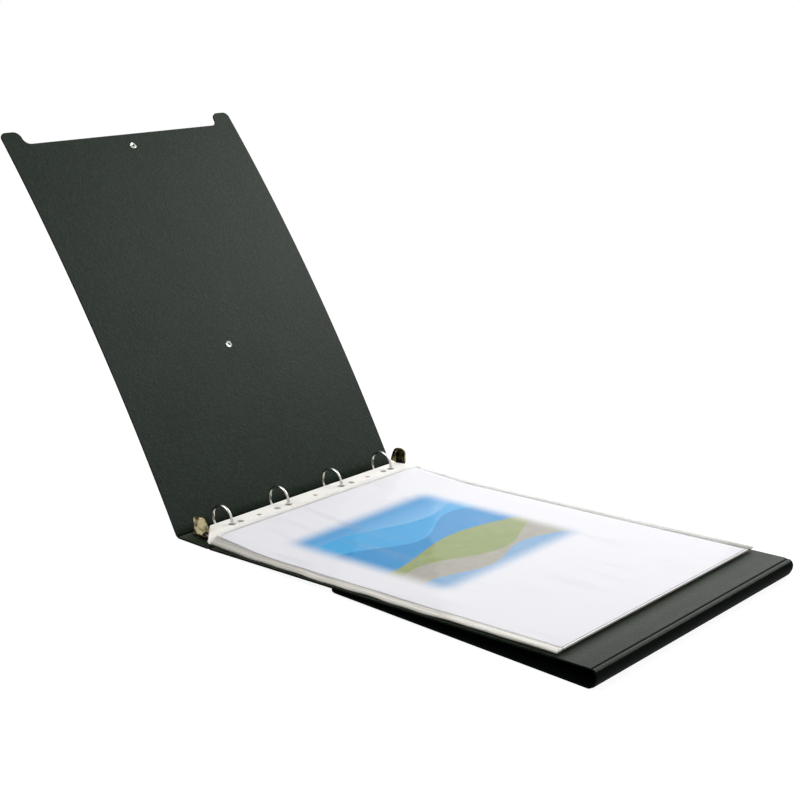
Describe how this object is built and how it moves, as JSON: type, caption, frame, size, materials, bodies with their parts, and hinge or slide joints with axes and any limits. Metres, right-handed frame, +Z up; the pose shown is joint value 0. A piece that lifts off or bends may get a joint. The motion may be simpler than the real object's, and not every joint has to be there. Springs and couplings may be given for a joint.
{
  "type": "presentation ring binder",
  "caption": "Large-format presentation ring binder lying open: footed front cover leaning back, lever ring mechanism on its spine, clear pockets on a rear cover with a folded-under easel flap.",
  "frame": {"origin": "on the table, under the middle of the ring spine", "axes": "+X from the rings to the free end of the rear cover, +Y along the ring line, +Z up"},
  "size_m": [0.7802, 0.3218, 0.389],
  "materials": {
    "case_polypropylene": "black grained polypropylene sheet, satin",
    "nickel_plate": "nickel-plated steel, polished",
    "pocket_film": "clear film, glossy",
    "pocket_strip": "white perforated strip, satin",
    "insert_paper": "white paper, matt"
  },
  "bodies": {
    "rear_cover": {"rear_cover": "case_polypropylene"},
    "ring_spine": {"ring_spine": "case_polypropylene", "ring_housing": "nickel_plate", "near_housing_rivet": "nickel_plate", "far_housing_rivet": "nickel_plate"},
    "front_cover": {"front_cover": "case_polypropylene", "upper_stud_eyelet": "nickel_plate", "upper_stud": "nickel_plate", "lower_stud_eyelet": "nickel_plate", "lower_stud": "nickel_plate"},
    "end_spine": {"end_spine": "case_polypropylene"},
    "closing_flap": {"closing_flap": "case_polypropylene", "flap_snap_cap": "nickel_plate", "flap_snap_socket": "nickel_plate"},
    "left_rail": {"left_rail": "nickel_plate", "left_half_ring_1": "nickel_plate", "left_half_ring_2": "nickel_plate", "left_half_ring_3": "nickel_plate", "left_half_ring_4": "nickel_plate"},
    "right_rail": {"right_rail": "nickel_plate", "right_half_ring_1": "nickel_plate", "right_half_ring_2": "nickel_plate", "right_half_ring_3": "nickel_plate", "right_half_ring_4": "nickel_plate"},
    "near_lever": {"near_lever": "nickel_plate"},
    "far_lever": {"far_lever": "nickel_plate"},
    "lower_pockets": {"bottom_pocket_strip": "pocket_strip", "bottom_pocket_sleeve": "pocket_film", "bottom_pocket_insert": "insert_paper", "middle_pocket_strip": "pocket_strip", "middle_pocket_sleeve": "pocket_film", "middle_pocket_insert": "insert_paper"},
    "top_pocket": {"top_pocket_strip": "pocket_strip", "top_pocket_sleeve": "pocket_film", "top_pocket_insert": "insert_paper"}
  },
  "joints": [
    {"name": "rear_cover_fold", "type": "hinge", "parent": "ring_spine", "child": "rear_cover", "pos_m": [0.024, 0, 0.0009], "axis": [0, 1, 0], "range_deg": [-76, 0]},
    {"name": "front_cover_hinge", "type": "hinge", "parent": "ring_spine", "child": "front_cover", "pos_m": [-0.024, 0, 0.0009], "axis": [0, -1, 0], "range_deg": [-50.35, 185]},
    {"name": "end_spine_hinge", "type": "hinge", "parent": "rear_cover", "child": "end_spine", "pos_m": [0.48669, 0, 0.0179], "axis": [0, 1, 0], "range_deg": [-182, 0]},
    {"name": "flap_hinge", "type": "hinge", "parent": "end_spine", "child": "closing_flap", "pos_m": [0.48669, 0, 0.0009], "axis": [0, 1, 0], "range_deg": [-176, 0]},
    {"name": "near_lever_press", "type": "hinge", "parent": "ring_spine", "child": "near_lever", "pos_m": [0, -0.1465, 0.004], "axis": [1, 0, 0], "range_deg": [0, 25]},
    {"name": "far_lever_press", "type": "hinge", "parent": "ring_spine", "child": "far_lever", "pos_m": [0, 0.1465, 0.004], "axis": [-1, 0, 0], "range_deg": [0, 25]},
    {"name": "left_rail_toggle", "type": "hinge", "parent": "ring_spine", "child": "left_rail", "pos_m": [-0.01235, 0, 0.0049], "axis": [0, -1, 0], "range_deg": [0, 8]},
    {"name": "right_rail_toggle", "type": "hinge", "parent": "ring_spine", "child": "right_rail", "pos_m": [0.01235, 0, 0.0049], "axis": [0, -1, 0], "range_deg": [-8, 0]},
    {"name": "lower_pockets_turn", "type": "hinge", "parent": "ring_spine", "child": "lower_pockets", "pos_m": [0, 0, 0.0153], "axis": [0, 1, 0], "range_deg": [-74.39, 0]},
    {"name": "top_pocket_turn", "type": "hinge", "parent": "lower_pockets", "child": "top_pocket", "pos_m": [0, 0, 0.0153], "axis": [0, -1, 0], "range_deg": [0, 110]}
  ],
  "couplings": [
    {"joint": "far_lever_press", "follows": "near_lever_press", "ratio": 1},
    {"joint": "left_rail_toggle", "follows": "near_lever_press", "ratio": 0.32},
    {"joint": "right_rail_toggle", "follows": "near_lever_press", "ratio": -0.32},
    {"joint": "lower_pockets_turn", "follows": "rear_cover_fold", "ratio": 0.9788}
  ]
}
